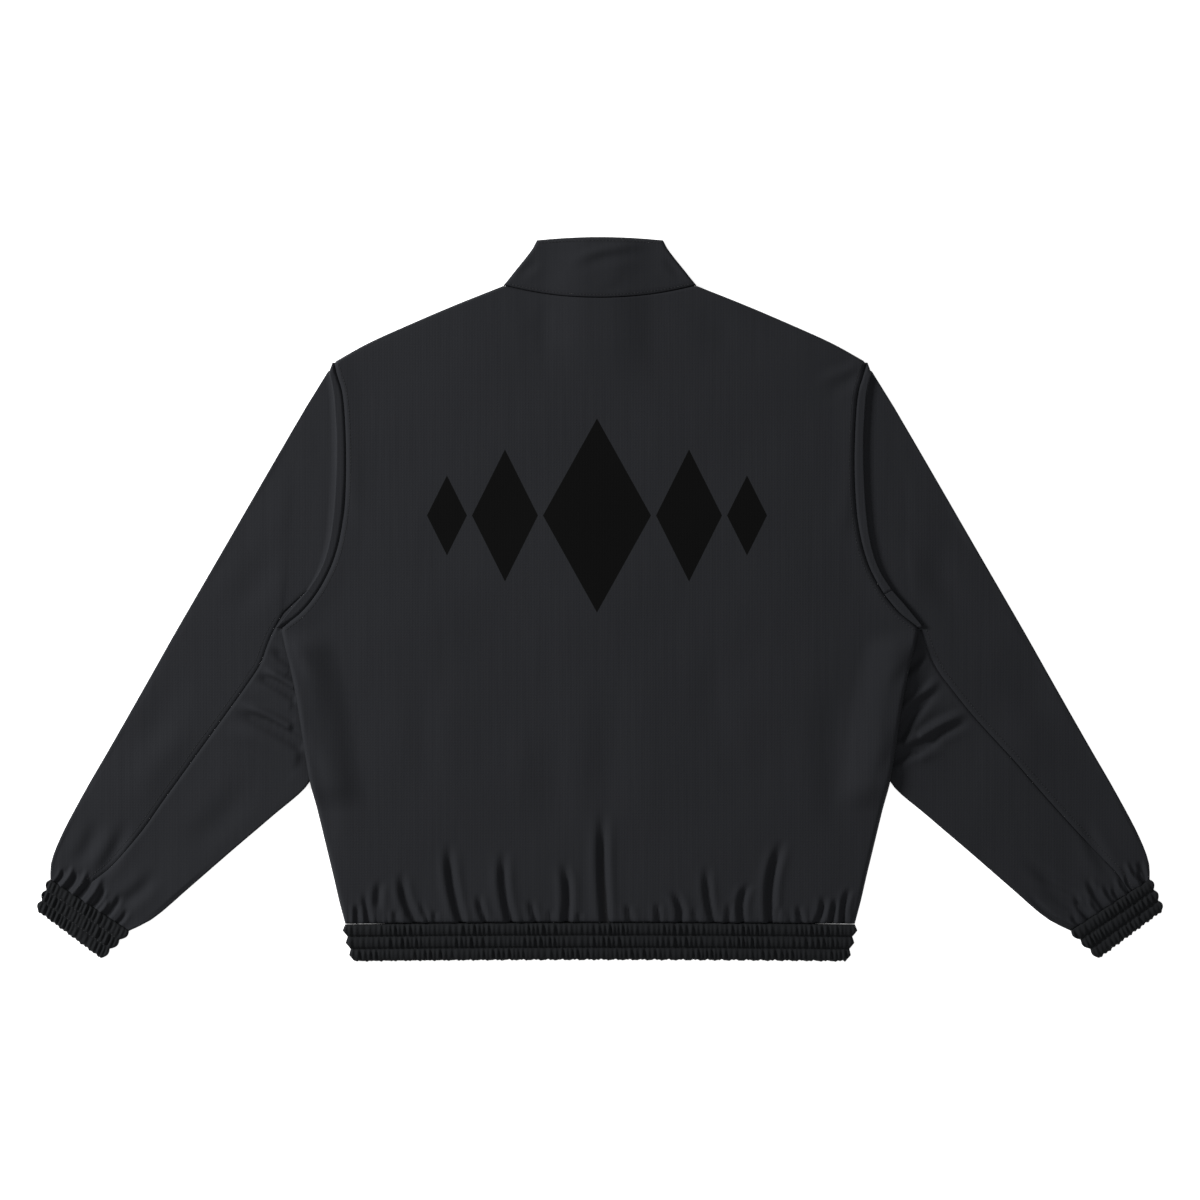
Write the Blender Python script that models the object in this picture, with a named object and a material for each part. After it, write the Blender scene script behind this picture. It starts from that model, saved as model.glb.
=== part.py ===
"""Track jacket laid flat on its front, with its back up and its sleeves spread.

The cloth is a wall of constant thickness. The two fronts and the undersides of the
sleeves lie on the surface at z = 0, the zip tape lies on the fronts, and the back lies
on top. X runs across the jacket and Y from the hem to the collar. Sizes are in
millimetres and become metres in one place, place().
"""
import bpy
import bmesh
from mathutils import Vector

# Driving dimensions, in millimetres
MM = 0.001
CLOTH = 2.0             # thickness of every cloth wall
SEAM_GAP = 0.5          # between two pieces along a seam
BACK_LEVEL = 4.2        # lower face of the back over the fronts
LIP_LEVEL = 2.7         # where the back's folded sides end, just over the fronts
FOLD_SETBACK = 2.6      # from a folded edge to the flat of its layer
FRONT_GAP = 5.5         # from the centre line to the edge of each front
EDGE_COLUMNS = (20.0, 50.0)
INNER_COLUMNS = 13      # columns of the back between the two edge strips

# The body, a row for each level from the hem to the neck. A dip is how far the middle
# of the row lies under its ends, and closed is 1 where the back folds down to the
# front and 0 along the armhole.
BODY_FIELDS = ("y", "half_width", "back_dip", "front_dip", "closed")
BODY = (
    (-324.5, 255.0, -2.0, -2.0, 1),
    (-302.0, 261.0, -1.0, -1.0, 1),
    (-276.0, 267.0, 0.0, 0.0, 1),
    (-245.0, 274.5, 0.0, 0.0, 1),
    (-208.0, 283.5, 0.0, 0.0, 1),
    (-183.0, 290.2, 0.0, 0.0, 1),
    (-155.0, 294.7, 0.0, 0.0, 1),
    (-126.0, 299.2, 0.0, 0.0, 1),
    (-98.0, 304.0, 0.0, 0.0, 1),
    (-72.0, 309.2, 0.0, 0.0, 1),
    (-50.0, 314.6, 0.0, 0.0, 1),
    (-29.0, 320.0, 0.0, 0.0, 1),
    (-14.0, 300.0, 0.0, 0.0, 0),
    (5.0, 284.0, 0.0, 0.0, 0),
    (26.0, 272.0, 0.0, 0.0, 0),
    (45.0, 264.5, 0.0, 0.0, 0),
    (66.0, 259.5, 0.0, 0.0, 0),
    (92.0, 256.0, 0.0, 0.0, 0),
    (124.0, 254.0, 0.0, 0.0, 0),
    (165.0, 254.3, 0.0, 0.0, 0),
    (203.0, 257.0, 0.0, 0.0, 0),
    (222.0, 262.0, 0.0, 0.0, 0),
    (237.0, 267.0, 0.0, 0.0, 1),
    (256.5, 232.0, 3.0, 15.0, 1),
    (275.5, 190.0, 6.0, 29.0, 1),
    (294.0, 145.5, 9.0, 44.0, 1),
    (314.0, 96.5, 12.5, 59.0, 1),
)

# The collar, from the neck seam to its top edge.
COLLAR_FIELDS = ("y", "half_width", "back_dip", "front_dip")
COLLAR = (
    (314.0 + SEAM_GAP, 96.5, 12.5, 59.0),
    (325.0, 87.5, 9.0, 54.5),
    (338.0, 77.0, 5.0, 49.0),
    (350.0, 68.5, 1.0, 44.0),
    (359.5, 64.0, -3.0, 40.0),
)

# The hem band: three sewn channels, a row at each stitch line and channel crown.
BAND_FIELDS = ("y", "half_width", "crown")
BAND = (
    (-324.5 - SEAM_GAP, 255.0, 0.0),
    (-331.0, 254.8, 1.0),
    (-337.0, 252.0, 0.0),
    (-343.0, 251.6, 1.0),
    (-349.0, 249.0, 0.0),
    (-355.5, 248.6, 1.0),
    (-362.5, 245.0, 0.0),
)
BAND_DIP = -2.0

# One sleeve, a row for each section from the armhole's fold to the cuff seam: the
# outer edge, the seam between the upper and the under sleeve, the lower edge, how
# high the upper side lies over BACK_LEVEL and how high its elbow tucks stand.
SLEEVE_FIELDS = ("outer_x", "outer_y", "seam_x", "seam_y", "lower_x", "lower_y", "rise", "tuck")
SLEEVE = (
    (294.0, 193.0, 318.0, -10.0, 325.5, -35.0, -0.8, 0.0),
    (322.5, 145.0, 331.0, -27.0, 321.5, -46.0, -0.8, 0.0),
    (352.0, 94.0, 337.0, -43.0, 318.0, -56.0, -0.8, 0.0),
    (378.0, 49.0, 342.0, -62.0, 300.0, -71.0, -0.8, 1.6),
    (403.0, 5.0, 352.0, -84.0, 291.0, -92.0, -0.8, 0.0),
    (425.0, -33.0, 369.0, -108.0, 286.0, -124.0, -0.8, 1.6),
    (447.0, -72.0, 390.0, -137.0, 284.0, -156.0, -0.8, 0.0),
    (468.0, -110.0, 411.0, -166.0, 292.0, -185.0, -0.8, 1.0),
    (492.0, -152.0, 437.0, -201.0, 328.0, -216.5, -0.6, 0.0),
    (513.0, -190.0, 459.0, -231.0, 369.0, -251.5, -0.4, 0.0),
    (537.0, -233.0, 485.0, -262.0, 411.0, -288.5, 0.0, 0.0),
    (550.0, -281.0, 526.0, -296.5, 472.0, -332.0, 0.0, 0.0),
)
CUFF_END = ((562.4, -311.5), (500.0, -358.3))
CUFF_CROWNS = (0.0, 1.0, 0.0, 1.0, 0.0, 1.0, 0.0)
CUFF_COLUMNS = 6

# The sleeve head: the fold of the raised strip along the armhole, a point for each of
# the armhole's, and how many of them, from the shoulder, the upper sleeve has.
HEAD_FOLD = (
    (270.5, 229.0), (268.0, 215.0), (265.5, 200.0), (263.0, 163.0), (264.0, 124.0),
    (266.0, 92.0), (268.5, 66.0), (273.5, 44.0), (281.0, 26.0), (292.0, 9.0),
    (306.0, -7.0), (323.5, -27.5),
)
UPPER_POINTS = 10
HEAD_RISE = 0.8
TUCK_COLUMNS = (1, 2)   # of the under sleeve, counted from the seam

# How far the middle of the back stands over its edges.
BACK_CROWN = 1.5

# Gathers over the hem, as the back's columns counted from the left: how far each
# runs up from the hem and how high it stands.
GATHER_FIELDS = ("column", "length", "height")
GATHERS = (
    (2, 45.0, 1.6), (4, 66.0, 2.0), (5, 60.0, 1.8), (7, 48.0, 1.6), (8, 88.0, 2.2),
    (10, 26.0, 1.4), (12, 40.0, 1.6), (13, 66.0, 2.0), (14, 24.0, 1.4),
)

# The body's sides lie on the under sleeves: how high, how far in, and between which
# levels.
SIDE_RAISE = 6.9
SIDE_FLAT, SIDE_SLOPE = EDGE_COLUMNS
SIDE_LEVELS = (-208.0, -183.0, -50.0, -29.0)

# The zip: a tape with one coil down its middle, and a slider with a pull tab on the
# outside of the jacket, under the collar, which lift the cloth that lies on them.
TAPE_HALF, TAPE_LOW, TAPE_HIGH = 14.0, 2.7, 3.5
COIL_HALF, COIL_LOW = 2.6, 0.6
ZIP_BOTTOM, ZIP_TOP = -359.0, 317.0
LIFT = 4.3
LIFT_X = (16.0, 56.0)
LIFT_LEVELS = (208.0, 268.0, 335.0, 385.0)
SLIDER_Y = 302.0
SLIDER_HALF = (4.4, 6.0)
SLIDER_LOW, SLIDER_FLOOR, SLIDER_HIGH = 3.5, 4.6, 6.6
CHANNEL_HALF = 3.1
BAIL_HALF = (1.0, 3.8)
BAIL_WINDOW_HALF = 2.6
BAIL_LOW, BAIL_BAR_HIGH = 0.3, 1.2
PULL_AXIS_Z = 2.35
PULL_THICK, PULL_HALF_WIDTH, PULL_LENGTH = 1.2, 3.6, 25.0
PULL_WINDOW_HALF, PULL_WINDOW_LENGTH = 1.6, 5.4
GRIP_START, GRIP_LOW = 13.0, 0.5
OVERCUT = 1.0           # how far a cutter passes its piece

# Colours (linear), roughness and metallic value of each material
SHELL_CLOTH = ("woven shell cloth", (0.016, 0.017, 0.020), 0.85, 0.0)
BAND_CLOTH = ("gathered band cloth", (0.009, 0.010, 0.011), 0.9, 0.0)
ZIP_TAPE = ("zip tape", (0.008, 0.008, 0.009), 0.8, 0.0)
BLACK_METAL = ("black enamelled zinc", (0.02, 0.02, 0.02), 0.35, 0.8)


def rows(table, fields):
    """A table's rows as dictionaries, keyed by the names of its columns."""
    return [dict(zip(fields, row)) for row in table]


def place(x, y, z):
    return Vector((x, y, z)) * MM


def ramp(value, start, end):
    """0 at start and 1 at end, straight between them and level beyond."""
    return min(1.0, max(0.0, (value - start) / (end - start)))


def slider_lift(x, y):
    low, full, still, gone = LIFT_LEVELS
    across = 1.0 - ramp(abs(x), *LIFT_X)
    return LIFT * across * min(ramp(y, low, full), ramp(y, gone, still))


def side_raise(x, y, half_width):
    low, full, still, gone = SIDE_LEVELS
    inwards = half_width - abs(x)
    across = 1.0 - ramp(inwards, SIDE_FLAT, SIDE_SLOPE)
    return SIDE_RAISE * across * min(ramp(y, low, full), ramp(y, gone, still))


def material(finish):
    name, colour, roughness, metallic = finish
    found = bpy.data.materials.get(name)
    if found:
        return found
    made = bpy.data.materials.new(name)
    made.use_nodes = True
    shader = made.node_tree.nodes["Principled BSDF"]
    shader.inputs["Base Color"].default_value = (*colour, 1.0)
    shader.inputs["Roughness"].default_value = roughness
    shader.inputs["Metallic"].default_value = metallic
    return made


def add_object(name, bm, finish):
    """Makes a piece of a closed mesh, cut into triangles so that its facets are settled."""
    bmesh.ops.triangulate(bm, faces=bm.faces)
    bmesh.ops.recalc_face_normals(bm, faces=bm.faces)
    mesh = bpy.data.meshes.new(name)
    bm.to_mesh(mesh)
    bm.free()
    mesh.materials.append(material(finish))
    made = bpy.data.objects.new(name, mesh)
    bpy.context.scene.collection.objects.link(made)
    return made


def wall(name, sections, finish, ring=False):
    """A closed cloth wall through sections of (outer, inner) pairs of points.

    A ring's sections close on themselves; the others end in a cut edge.
    """
    bm = bmesh.new()
    grid = [[(bm.verts.new(outer), bm.verts.new(inner)) for outer, inner in section]
            for section in sections]
    across = len(grid[0])
    steps = [(i, (i + 1) % across) for i in range(across if ring else across - 1)]
    for near, far in zip(grid, grid[1:]):
        for i, j in steps:
            for side in (0, 1):
                bm.faces.new((near[i][side], near[j][side], far[j][side], far[i][side]))
        if not ring:
            for i in (0, -1):
                bm.faces.new((near[i][0], far[i][0], far[i][1], near[i][1]))
    for end in (grid[0], grid[-1]):
        for i, j in steps:
            bm.faces.new((end[i][0], end[j][0], end[j][1], end[i][1]))
    return add_object(name, bm, finish)


def upper_layer(points):
    """Pairs for a layer whose outside faces up, from points on its lower face."""
    return [(place(x, y, z + CLOTH), place(x, y, z)) for x, y, z in points]


def lower_layer(points):
    return [(place(x, y, z), place(x, y, z + CLOTH)) for x, y, z in points]


def fold(edge, inwards, low, high):
    """The pair at a folded edge, halfway between the layers' outer faces."""
    middle = (low + high + CLOTH) / 2
    step = Vector(inwards).normalized() * CLOTH
    return [(place(*edge, middle), place(edge[0] + step.x, edge[1] + step.y, middle))]


def row_y(row, x, dip):
    """Y of a row at x: it dips towards the middle and is level at its folded ends."""
    share = min(1.0, abs(x) / (row["half_width"] - FOLD_SETBACK))
    return row["y"] - row[dip] * (1.0 - share ** 2)


def back_columns(half_width):
    """X of each column of the back, from the left side to the right."""
    near, far = EDGE_COLUMNS
    inner = half_width - far
    middle = [inner * (2 * i / (INNER_COLUMNS - 1) - 1) for i in range(INNER_COLUMNS)]
    left = [FOLD_SETBACK - half_width, near - half_width]
    return left + middle + [-x for x in reversed(left)]


def front_columns(half_width):
    """X of each column of the right front, from its side to the zip."""
    near, far = EDGE_COLUMNS
    inner = half_width - far
    steps = (1.0, 0.7, 0.4)
    middle = [FRONT_GAP + (inner - FRONT_GAP) * step for step in steps]
    return [half_width, half_width - near] + middle + [FRONT_GAP + 12.0, FRONT_GAP]


def gather_height(column, row_height):
    """How far a gather stands up at a column and a height over the hem seam."""
    for gather in rows(GATHERS, GATHER_FIELDS):
        if gather["column"] == column:
            return gather["height"] * (1.0 - ramp(row_height, 0.0, gather["length"]))
    return 0.0


def back_crown(x, y, half_width):
    low, high = BODY[0][0], BODY[-1][0]
    across = 1.0 - (x / half_width) ** 2
    along = 1.0 - ((2 * y - low - high) / (high - low)) ** 2
    return BACK_CROWN * across * max(0.0, along)


def make_back():
    sections = []
    for row in rows(BODY, BODY_FIELDS):
        half_width = row["half_width"]
        points = []
        for column, x in enumerate(back_columns(half_width)):
            y = row_y(row, x, "back_dip")
            z = BACK_LEVEL + slider_lift(x, y) + side_raise(x, y, half_width)
            z += back_crown(x, y, half_width) + gather_height(column, row["y"] - BODY[0][0])
            points.append((x, y, z))
        section = upper_layer(points)
        for side, at in ((-1, 0), (1, len(section))):
            raised = side_raise(half_width, row["y"], half_width)
            if row["closed"]:
                low = LIP_LEVEL + raised
                edge = (place(side * half_width, row["y"], low),
                        place(side * (half_width - CLOTH), row["y"], low))
            else:
                edge = (place(side * half_width, row["y"], BACK_LEVEL + CLOTH),
                        place(side * half_width, row["y"], BACK_LEVEL))
            section.insert(at, edge)
        sections.append(section)
    return wall("back", sections, SHELL_CLOTH)


def make_front(name, side):
    sections = []
    for row in rows(BODY, BODY_FIELDS):
        points = []
        for x in front_columns(row["half_width"]):
            y = row_y(row, x, "front_dip")
            points.append((side * x, y, slider_lift(x, y) + side_raise(x, y, row["half_width"])))
        sections.append(lower_layer(points))
    return wall(name, sections, SHELL_CLOTH)


def wrapped_section(row, back_y, front_y, crown):
    """A section of a band that runs from the zip round the back and to the zip again."""
    half_width = row["half_width"]
    front = [x for x in front_columns(half_width) if x < half_width]
    front.insert(0, half_width - FOLD_SETBACK)
    right = [(x, front_y(x), slider_lift(x, front_y(x))) for x in front]
    left = [(-x, y, z) for x, y, z in reversed(right)]
    back = [(x, back_y(x), BACK_LEVEL + crown + slider_lift(x, back_y(x)))
            for x in back_columns(half_width)]
    left_fold = fold((-half_width, row["y"]), (1, 0, 0), 0.0, BACK_LEVEL + crown)
    right_fold = fold((half_width, row["y"]), (-1, 0, 0), 0.0, BACK_LEVEL + crown)
    return lower_layer(left) + left_fold + upper_layer(back) + right_fold + lower_layer(right)


def make_collar():
    sections = []
    for row in rows(COLLAR, COLLAR_FIELDS):
        sections.append(wrapped_section(
            row,
            lambda x: row_y(row, x, "back_dip"),
            lambda x: row_y(row, x, "front_dip"),
            0.0))
    return wall("collar", sections, SHELL_CLOTH)


def make_hem_band():
    sections = []
    for row in rows(BAND, BAND_FIELDS):
        row["dip"] = BAND_DIP
        sections.append(wrapped_section(
            row,
            lambda x: row_y(row, x, "dip"),
            lambda x: row_y(row, x, "dip"),
            row["crown"]))
    return wall("hem_band", sections, BAND_CLOTH)


def between(start, end, share):
    return start[0] + (end[0] - start[0]) * share, start[1] + (end[1] - start[1]) * share


def set_back(edge, other):
    """A point FOLD_SETBACK from a folded edge, towards another point."""
    run = Vector((other[0] - edge[0], other[1] - edge[1], 0.0))
    step = run.normalized() * FOLD_SETBACK
    return edge[0] + step.x, edge[1] + step.y


def armhole():
    """The body's armhole from the shoulder to the pit, on the wearer's right side."""
    points = [(row["half_width"], row["y"]) for row in rows(BODY, BODY_FIELDS)]
    shoulder = next(i for i, point in enumerate(points) if point[1] == 237.0)
    pit = next(i for i, point in enumerate(points) if point[1] == -29.0)
    return list(reversed(points[pit:shoulder + 1]))


def halved(points):
    """The same line with a point added in the middle of each step."""
    line = [points[0]]
    for start, end in zip(points, points[1:]):
        line += [between(start, end, 0.5), end]
    return line


def sleeve_plans():
    """Plan points of each sleeve section: outer edge to seam, then seam to lower edge."""
    hole = [(x + SEAM_GAP, y) for x, y in armhole()]
    last = UPPER_POINTS - 1
    plans = [(hole[:UPPER_POINTS], halved(hole[last:]), 0.0, 0.0),
             (HEAD_FOLD[:UPPER_POINTS], halved(HEAD_FOLD[last:]), HEAD_RISE, 0.0)]
    under_steps = len(plans[0][1]) - 1
    for row in rows(SLEEVE, SLEEVE_FIELDS):
        outer = (row["outer_x"], row["outer_y"])
        seam = (row["seam_x"], row["seam_y"])
        lower = (row["lower_x"], row["lower_y"])
        plans.append(([between(outer, seam, i / last) for i in range(UPPER_POINTS)],
                      [between(seam, lower, i / under_steps) for i in range(under_steps + 1)],
                      row["rise"], row["tuck"]))
    return plans


def seam_offsets(plans):
    """Half the seam gap at each section, square to the line that the seam follows."""
    line = [Vector(upper[-1]) for upper, *_ in plans]
    offsets = []
    for i in range(len(line)):
        run = (line[min(i + 1, len(line) - 1)] - line[max(i - 1, 0)]).normalized()
        offsets.append(Vector((run.y, -run.x)) * SEAM_GAP / 2)
    return offsets


def two_layers(plan, high, tucks):
    """A section from a seam over the top to a folded edge and back underneath."""
    edge, beside = plan[-1], plan[-2]
    flat = list(plan[:-1]) + [set_back(edge, beside)]
    top = [(x, y, high + tuck) for (x, y), tuck in zip(flat, tucks)]
    bottom = [(x, y, 0.0) for x, y in reversed(flat)]
    inwards = (beside[0] - edge[0], beside[1] - edge[1], 0.0)
    return upper_layer(top) + fold(edge, inwards, 0.0, high) + lower_layer(bottom)


def mirrored(sections, side):
    if side > 0:
        return sections
    return [[tuple(Vector((-p.x, p.y, p.z)) for p in pair) for pair in section]
            for section in sections]


def make_sleeve(suffix, side):
    upper_sections, under_sections = [], []
    plans = sleeve_plans()
    for (upper, under, rise, tuck), offset in zip(plans, seam_offsets(plans)):
        high = BACK_LEVEL + rise
        seam = Vector(upper[-1])
        upper_plan = [tuple(seam - offset)] + list(reversed(upper[:-1]))
        under_plan = [tuple(seam + offset)] + list(under[1:])
        tucks = [tuck if i in TUCK_COLUMNS else 0.0 for i in range(len(under_plan))]
        upper_sections.append(two_layers(upper_plan, high, [0.0] * len(upper_plan)))
        under_sections.append(two_layers(under_plan, high, tucks))
    wall("sleeve_upper_" + suffix, mirrored(upper_sections, side), SHELL_CLOTH)
    wall("sleeve_under_" + suffix, mirrored(under_sections, side), SHELL_CLOTH)


def gap_length(a, b):
    return Vector((a[0] - b[0], a[1] - b[1])).length


def make_cuff(suffix, side):
    last = rows(SLEEVE, SLEEVE_FIELDS)[-1]
    start = ((last["outer_x"], last["outer_y"]), (last["lower_x"], last["lower_y"]))
    length = gap_length(start[0], CUFF_END[0])
    sections = []
    for i, crown in enumerate(CUFF_CROWNS):
        share = max(i / (len(CUFF_CROWNS) - 1), 1.3 * SEAM_GAP / length)
        outer = between(start[0], CUFF_END[0], share)
        lower = between(start[1], CUFF_END[1], share)
        plan = [between(outer, lower, j / CUFF_COLUMNS) for j in range(CUFF_COLUMNS + 1)]
        plan[0], plan[-1] = set_back(outer, lower), set_back(lower, outer)
        high = BACK_LEVEL + crown
        inwards = (lower[0] - outer[0], lower[1] - outer[1], 0.0)
        outwards = (-inwards[0], -inwards[1], 0.0)
        sections.append(
            upper_layer([(x, y, high) for x, y in plan])
            + fold(lower, outwards, 0.0, high)
            + lower_layer([(x, y, 0.0) for x, y in reversed(plan)])
            + fold(outer, inwards, 0.0, high))
    wall("cuff_" + suffix, mirrored(sections, side), BAND_CLOTH, ring=True)


def make_zip():
    """A tape with one coil down its middle, as one bar that follows the cloth's lift."""
    profile = ((-TAPE_HALF, TAPE_LOW), (-COIL_HALF, TAPE_LOW), (-COIL_HALF, COIL_LOW),
               (COIL_HALF, COIL_LOW), (COIL_HALF, TAPE_LOW), (TAPE_HALF, TAPE_LOW),
               (TAPE_HALF, TAPE_HIGH), (-TAPE_HALF, TAPE_HIGH))
    levels = (ZIP_BOTTOM, *LIFT_LEVELS[:2], ZIP_TOP)
    bm = bmesh.new()
    rings = [[bm.verts.new(place(x, y, z + slider_lift(0.0, y))) for x, z in profile]
             for y in levels]
    count = len(profile)
    for near, far in zip(rings, rings[1:]):
        for i in range(count):
            j = (i + 1) % count
            bm.faces.new((near[i], near[j], far[j], far[i]))
    bm.faces.new(rings[0])
    bm.faces.new(rings[-1])
    return add_object("zip", bm, ZIP_TAPE)


def box(name, low, high, finish):
    """A box between two corners, its origin on the pull tab's axis."""
    bm = bmesh.new()
    bmesh.ops.create_cube(bm, size=1.0)
    for vert in bm.verts:
        corner = [high[i] if vert.co[i] > 0 else low[i] for i in range(3)]
        vert.co = place(corner[0], corner[1], corner[2] - PULL_AXIS_Z)
    made = add_object(name, bm, finish)
    made.location = place(0.0, SLIDER_Y, PULL_AXIS_Z)
    return made


def combine(target, tool, operation):
    """Adds a hidden tool's shape to a piece, or cuts it out of the piece."""
    step = target.modifiers.new(operation.lower() + " " + tool.name, "BOOLEAN")
    step.operation = operation
    step.object = tool
    tool.hide_render = True
    tool.display_type = "WIRE"


def make_slider():
    half_x, half_y = SLIDER_HALF
    bail_x, bail_y = BAIL_HALF
    slider = box("zip_slider", (-half_x, -half_y, SLIDER_LOW), (half_x, half_y, SLIDER_HIGH),
                 BLACK_METAL)
    channel = box("slider channel", (-CHANNEL_HALF, -half_y - OVERCUT, SLIDER_FLOOR),
                  (CHANNEL_HALF, half_y + OVERCUT, SLIDER_HIGH + OVERCUT), BLACK_METAL)
    bail = box("slider bail", (-bail_x, -bail_y, BAIL_LOW),
               (bail_x, bail_y, (SLIDER_LOW + SLIDER_FLOOR) / 2), BLACK_METAL)
    opening = box("bail opening", (-bail_x - OVERCUT, -BAIL_WINDOW_HALF, BAIL_BAR_HIGH),
                  (bail_x + OVERCUT, BAIL_WINDOW_HALF, SLIDER_LOW), BLACK_METAL)
    combine(slider, channel, "DIFFERENCE")
    combine(slider, bail, "UNION")
    combine(slider, opening, "DIFFERENCE")


def make_pull():
    half_thick = PULL_THICK / 2
    low, high = PULL_AXIS_Z - half_thick, PULL_AXIS_Z + half_thick
    pull = box("zip_pull", (-PULL_HALF_WIDTH, -PULL_LENGTH, low),
               (PULL_HALF_WIDTH, half_thick, high), BLACK_METAL)
    window = box("pull window", (-PULL_WINDOW_HALF, -half_thick - PULL_WINDOW_LENGTH,
                                 low - OVERCUT),
                 (PULL_WINDOW_HALF, -half_thick, high + OVERCUT), BLACK_METAL)
    grip = box("pull grip", (-PULL_HALF_WIDTH, -PULL_LENGTH, GRIP_LOW),
               (PULL_HALF_WIDTH, -GRIP_START, (low + high) / 2), BLACK_METAL)
    combine(pull, window, "DIFFERENCE")
    combine(pull, grip, "UNION")


for old in list(bpy.data.objects):
    bpy.data.objects.remove(old, do_unlink=True)

make_back()
make_front("front_right", 1)
make_front("front_left", -1)
make_collar()
make_hem_band()
for suffix, side in (("right", 1), ("left", -1)):
    make_sleeve(suffix, side)
    make_cuff(suffix, side)
make_zip()
make_slider()
make_pull()
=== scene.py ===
"""A black track jacket lying on its front on a pale floor, seen from straight above."""
import math

import bmesh
import bpy
import numpy as np
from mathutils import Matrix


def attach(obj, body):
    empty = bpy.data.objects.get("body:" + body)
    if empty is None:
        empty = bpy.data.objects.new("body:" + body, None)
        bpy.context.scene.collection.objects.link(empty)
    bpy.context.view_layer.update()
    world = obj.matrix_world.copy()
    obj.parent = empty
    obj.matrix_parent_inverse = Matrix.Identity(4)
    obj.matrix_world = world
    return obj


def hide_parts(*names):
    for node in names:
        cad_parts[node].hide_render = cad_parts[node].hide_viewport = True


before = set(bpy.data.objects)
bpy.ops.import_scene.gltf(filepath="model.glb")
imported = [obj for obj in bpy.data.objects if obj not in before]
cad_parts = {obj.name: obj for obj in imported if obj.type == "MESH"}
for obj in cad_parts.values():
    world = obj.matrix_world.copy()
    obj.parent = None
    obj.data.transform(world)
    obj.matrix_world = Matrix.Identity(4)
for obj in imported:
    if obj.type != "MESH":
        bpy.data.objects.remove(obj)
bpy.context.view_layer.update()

# ---------------------------------------------------------------------------
# Back panel. One panel of matt plain-woven polyester, charcoal black, cut on the
# straight grain. It is gathered into the hem band, so soft creases run up from the
# hem, and its sides fold over the under sleeves.
# ---------------------------------------------------------------------------
MM = 0.001
BACK_SIDE = ((255.0, -324.5), (261.0, -302.0), (267.0, -276.0), (274.5, -245.0),
             (283.0, -210.0), (290.0, -183.0), (295.0, -155.0), (299.5, -126.0),
             (304.0, -98.0), (309.5, -70.0), (315.0, -48.0), (320.0, -29.0))
ARMHOLE = ((320.0, -29.0), (300.0, -14.0), (284.0, 5.0), (272.0, 26.0), (264.5, 45.0),
           (259.5, 66.0), (256.0, 92.0), (254.0, 124.0), (254.3, 165.0), (257.0, 203.0),
           (262.0, 222.0), (267.0, 237.0))
BACK_SHOULDER = ((267.0, 237.0), (232.0, 256.5), (190.0, 275.5), (145.5, 294.5),
                 (96.5, 314.0))
NECK_DIP = 12.5
HEM_Y, PIT_Y, SHOULDER_Y, NECK_Y = -324.5, -29.0, 237.0, 314.0
BODY_HALF_WIDTHS = ((HEM_Y, 255.0), (PIT_Y, 320.0), (60.0, 258.0), (SHOULDER_Y, 267.0),
                    (NECK_Y, 96.0))
BODY_MIDDLE_Y, BODY_HALF_LENGTH = -5.0, 325.0
HEM_BOW = 1.6           # how far the hem line rises in the middle
TOP_LEVEL = 6.4         # outside of the back over the surface, at its edges
CROWN = 2.2             # how far its middle stands over that
SIDE_ROLL = 5.0         # radius of the folded sides
SIDE_EDGE_LEVEL = 1.2   # where the rolled sides end
SIDE_LIFT = 6.9         # how high the sides stand on the under sleeves
SLIDER_LIFT = 4.3       # how far the zip slider under the back lifts the cloth
HOLE_SWELL, HOLE_SWELL_WIDTH = 1.3, 14.0        # seam allowances under the armhole
SHIRRING_HEIGHT, SHIRRING_REACH = 0.75, 8.0
WALL = 0.7              # thickness of the woven cloth as it is drawn

# Creases, in millimetres: from (x0, y0) to (x1, y1), bowed sideways, how wide, how high
# (troughs are negative) and whether the far end stays open, as at a seam.
HEM_CREASE_GAIN, SOFT_FOLD_GAIN = 1.35, 1.3
FIELDS_CREASE = ("x0", "y0", "x1", "y1", "bow", "width", "height", "open_end")
HEM_CREASES = (
    (-243, -303, -243, -323, 0, 3.0, -1.8, 1), (-219, -278, -221, -314, 2, 4.0, -1.8, 0),
    (-199, -270, -184, -324, 4, 4.2, -3.0, 1), (-205, -309, -204, -324, 0, 2.6, -1.6, 1),
    (-165, -309, -165, -324, 0, 2.4, -1.4, 1), (-151, -238, -138.5, -324, 4, 4.4, -3.4, 1),
    (-122, -292, -113, -324, 2, 3.2, -2.4, 1), (-96, -246, -89, -324, 4, 4.2, -3.2, 1),
    (-71, -298, -64.5, -323, 0, 3.0, -2.0, 1), (-37, -258, -34, -324, -3, 4.2, -3.2, 1),
    (-21, -311, -21, -324, 0, 2.4, -1.4, 1), (3, -205, 6, -324, 2, 4.6, -3.6, 1),
    (27, -302, 31, -324, 0, 3.0, -2.0, 1), (57, -301, 59, -324, 0, 2.8, -2.0, 1),
    (71, -289, 80.5, -324, -4, 3.8, -2.8, 1), (107, -262, 114, -324, 3, 3.8, -2.6, 1),
    (150, -281, 143, -324, 5, 3.8, -2.8, 1), (184, -236, 171, -325, 6, 4.6, -3.6, 1),
    (178, -305, 178, -324, 0, 2.6, -1.6, 1), (198, -304, 201, -324, 0, 2.8, -1.8, 1),
    (223, -294, 216, -325, -3, 3.2, -2.2, 1), (237, -296, 231, -325, 0, 3.0, -2.2, 1),
    (251, -286, 243, -326, 3, 3.2, -2.4, 1), (-236, -290, -232, -324, 0, 3.0, -1.6, 1),
    (130, -300, 128, -324, 0, 2.6, -1.4, 1), (-180, -300, -172, -324, 0, 2.4, -1.2, 1),
    (94, -306, 96, -324, 0, 2.4, -1.2, 1), (-50, -308, -50, -324, 0, 2.4, -1.2, 1),
)
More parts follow.
